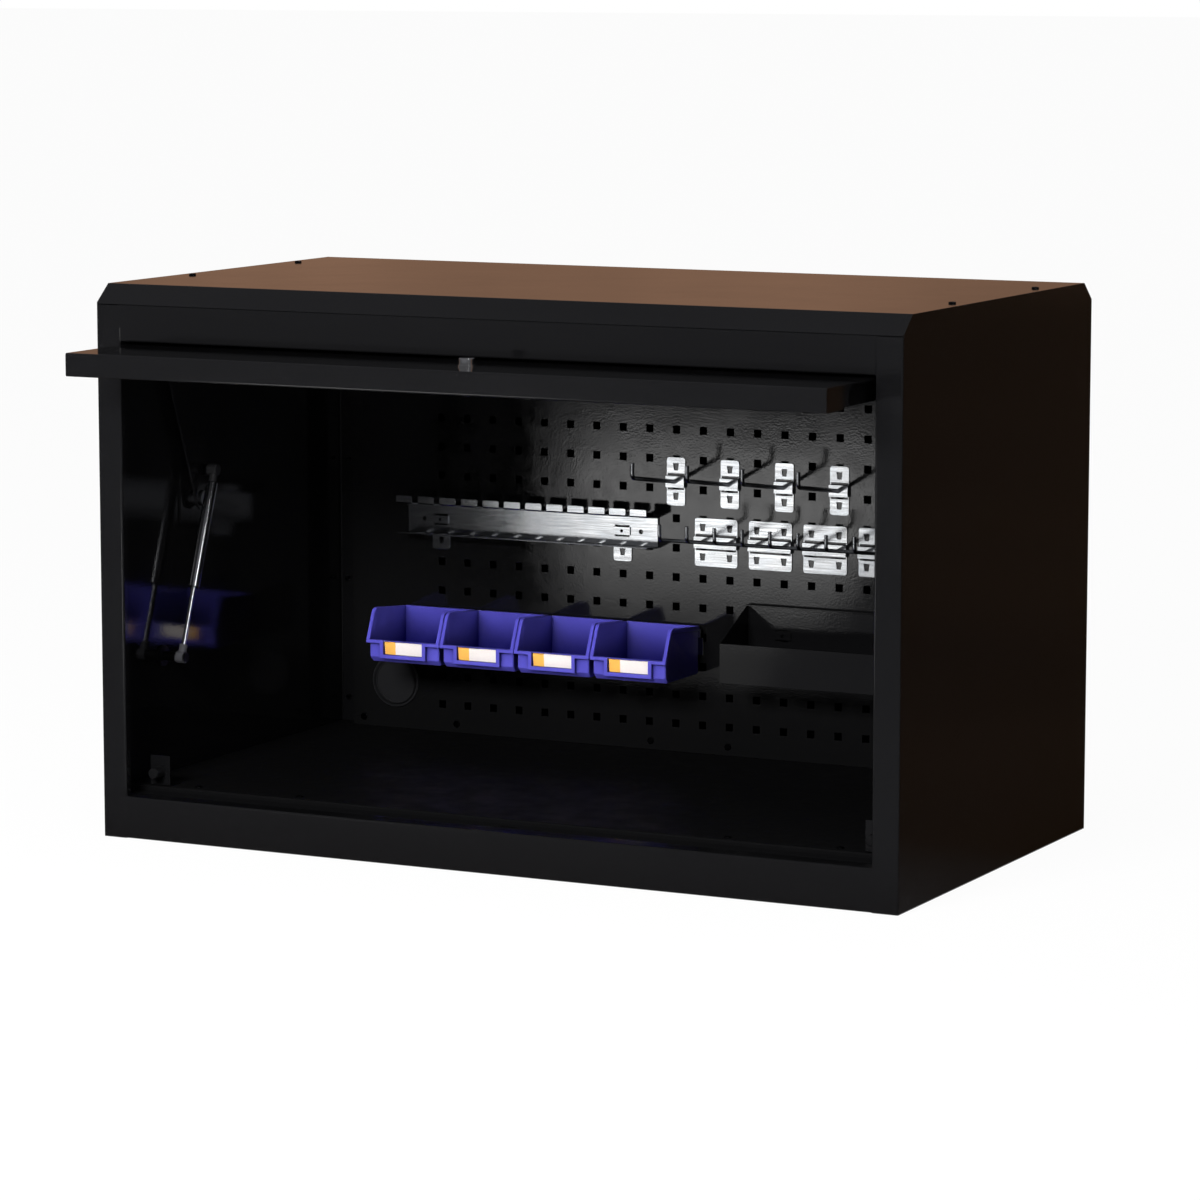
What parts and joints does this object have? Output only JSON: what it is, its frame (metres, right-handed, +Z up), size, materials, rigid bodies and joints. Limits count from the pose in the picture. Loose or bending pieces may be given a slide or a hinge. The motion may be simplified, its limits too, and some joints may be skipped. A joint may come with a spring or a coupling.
{
  "type": "hutch cabinet",
  "caption": "Steel hutch cabinet with a gas-strut flip-up door, cam lock, perforated back, hooks, tool rail, parts tray and lift-off storage bins.",
  "frame": {"origin": "middle of the front rail's foot, on the surface that the cabinet stands on", "axes": "+X along the width to the viewer's right, +Y from the front to the back, +Z up"},
  "size_m": [1.062, 0.718, 0.682],
  "materials": {
    "black_paint": "gloss powder coat with fine orange peel",
    "zinc_plate": "bright zinc plate",
    "pivot_steel": "machined steel",
    "black_screw": "black zinc screws",
    "strut_tube_steel": "polished steel tube",
    "strut_rod_chrome": "hard chrome",
    "lock_chrome": "nickel plate",
    "socket_plastic": "moulded nylon",
    "grommet_plastic": "moulded polyethylene",
    "bumper_rubber": "grey rubber",
    "bin_plastic": "blue polypropylene",
    "label_card": "printed card"
  },
  "bodies": {
    "carcass": {"side_panel_left": "black_paint", "side_panel_right": "black_paint", "top_panel": "black_paint", "front_fascia": "black_paint", "bottom_rail": "black_paint", "rear_base_rail": "black_paint", "floor_supports": "black_paint", "floor_panel": "black_paint", "back_panel": "black_paint", "pegboard": "black_paint", "cable_grommet": "grommet_plastic", "carcass_screws": "black_screw", "pegboard_screws": "black_screw", "door_stop_brackets": "black_paint", "door_stop_bumpers": "bumper_rubber", "pivot_plates": "black_paint", "pivot_pins": "pivot_steel", "pivot_caps": "pivot_steel", "strut_feet": "pivot_steel", "tool_rail": "zinc_plate", "bin_rail": "zinc_plate", "parts_tray": "black_paint", "rail_plates": "zinc_plate", "tray_clips": "zinc_plate", "single_hook_1": "zinc_plate", "single_hook_2": "zinc_plate", "single_hook_3": "zinc_plate", "single_hook_4": "zinc_plate", "double_hook_1": "zinc_plate", "double_hook_2": "zinc_plate", "double_hook_3": "zinc_plate", "double_hook_4": "zinc_plate"},
    "door": {"door_panel": "black_paint", "door_stiffener": "black_paint", "door_arm_left": "black_paint", "door_arm_right": "black_paint", "arm_screws": "black_screw", "lock_body": "lock_chrome", "lock_nut": "black_screw", "arm_studs": "pivot_steel"},
    "key_plug": {"lock_plug": "lock_chrome", "lock_cam": "pivot_steel", "cam_screw": "black_screw"},
    "left_strut_rod": {"strut_foot_socket_left": "socket_plastic", "strut_rod_left": "strut_rod_chrome"},
    "left_strut_tube": {"strut_tube_left": "strut_tube_steel", "strut_head_socket_left": "socket_plastic"},
    "right_strut_rod": {"strut_foot_socket_right": "socket_plastic", "strut_rod_right": "strut_rod_chrome"},
    "right_strut_tube": {"strut_tube_right": "strut_tube_steel", "strut_head_socket_right": "socket_plastic"},
    "storage_bin_1": {"bin_1": "bin_plastic", "bin_label_1": "label_card"},
    "storage_bin_2": {"bin_2": "bin_plastic", "bin_label_2": "label_card"},
    "storage_bin_3": {"bin_3": "bin_plastic", "bin_label_3": "label_card"},
    "storage_bin_4": {"bin_4": "bin_plastic", "bin_label_4": "label_card"}
  },
  "joints": [
    {"name": "door_swing", "type": "hinge", "parent": "carcass", "child": "door", "pos_m": [0, 0.202, 0.397], "axis": [1, 0, 0], "range_deg": [0, 90], "stiffness_Nm_per_rad": 9, "springref_deg": -45.84},
    {"name": "key_turn", "type": "hinge", "parent": "door", "child": "key_plug", "pos_m": [0.015, -0.081, 0.608], "axis": [0, 0, 1], "range_deg": [0, 90]},
    {"name": "left_strut_swing", "type": "hinge", "parent": "carcass", "child": "left_strut_rod", "pos_m": [-0.5018, 0.123, 0.206], "axis": [1, 0, 0], "range_deg": [0, 7.98]},
    {"name": "left_strut_slide", "type": "slide", "parent": "left_strut_rod", "child": "left_strut_tube", "axis": [0, 0.347, 0.9378], "range_m": [-0.04168, 0]},
    {"name": "right_strut_swing", "type": "hinge", "parent": "carcass", "child": "right_strut_rod", "pos_m": [0.5018, 0.123, 0.206], "axis": [1, 0, 0], "range_deg": [0, 7.98]},
    {"name": "right_strut_slide", "type": "slide", "parent": "right_strut_rod", "child": "right_strut_tube", "axis": [0, 0.347, 0.9378], "range_m": [-0.04168, 0]},
    {"name": "bin_1_lift", "type": "slide", "parent": "carcass", "child": "storage_bin_1", "axis": [0, 0, 1], "range_m": [0, 0.03]},
    {"name": "bin_2_lift", "type": "slide", "parent": "carcass", "child": "storage_bin_2", "axis": [0, 0, 1], "range_m": [0, 0.03]},
    {"name": "bin_3_lift", "type": "slide", "parent": "carcass", "child": "storage_bin_3", "axis": [0, 0, 1], "range_m": [0, 0.03]},
    {"name": "bin_4_lift", "type": "slide", "parent": "carcass", "child": "storage_bin_4", "axis": [0, 0, 1], "range_m": [0, 0.03]}
  ],
  "couplings": [
    {"joint": "left_strut_swing", "follows": "door_swing", "ratio": 0.088142},
    {"joint": "left_strut_slide", "follows": "door_swing", "m_per_rad": -0.026345},
    {"joint": "right_strut_swing", "follows": "door_swing", "ratio": 0.088142},
    {"joint": "right_strut_slide", "follows": "door_swing", "m_per_rad": -0.026345}
  ]
}
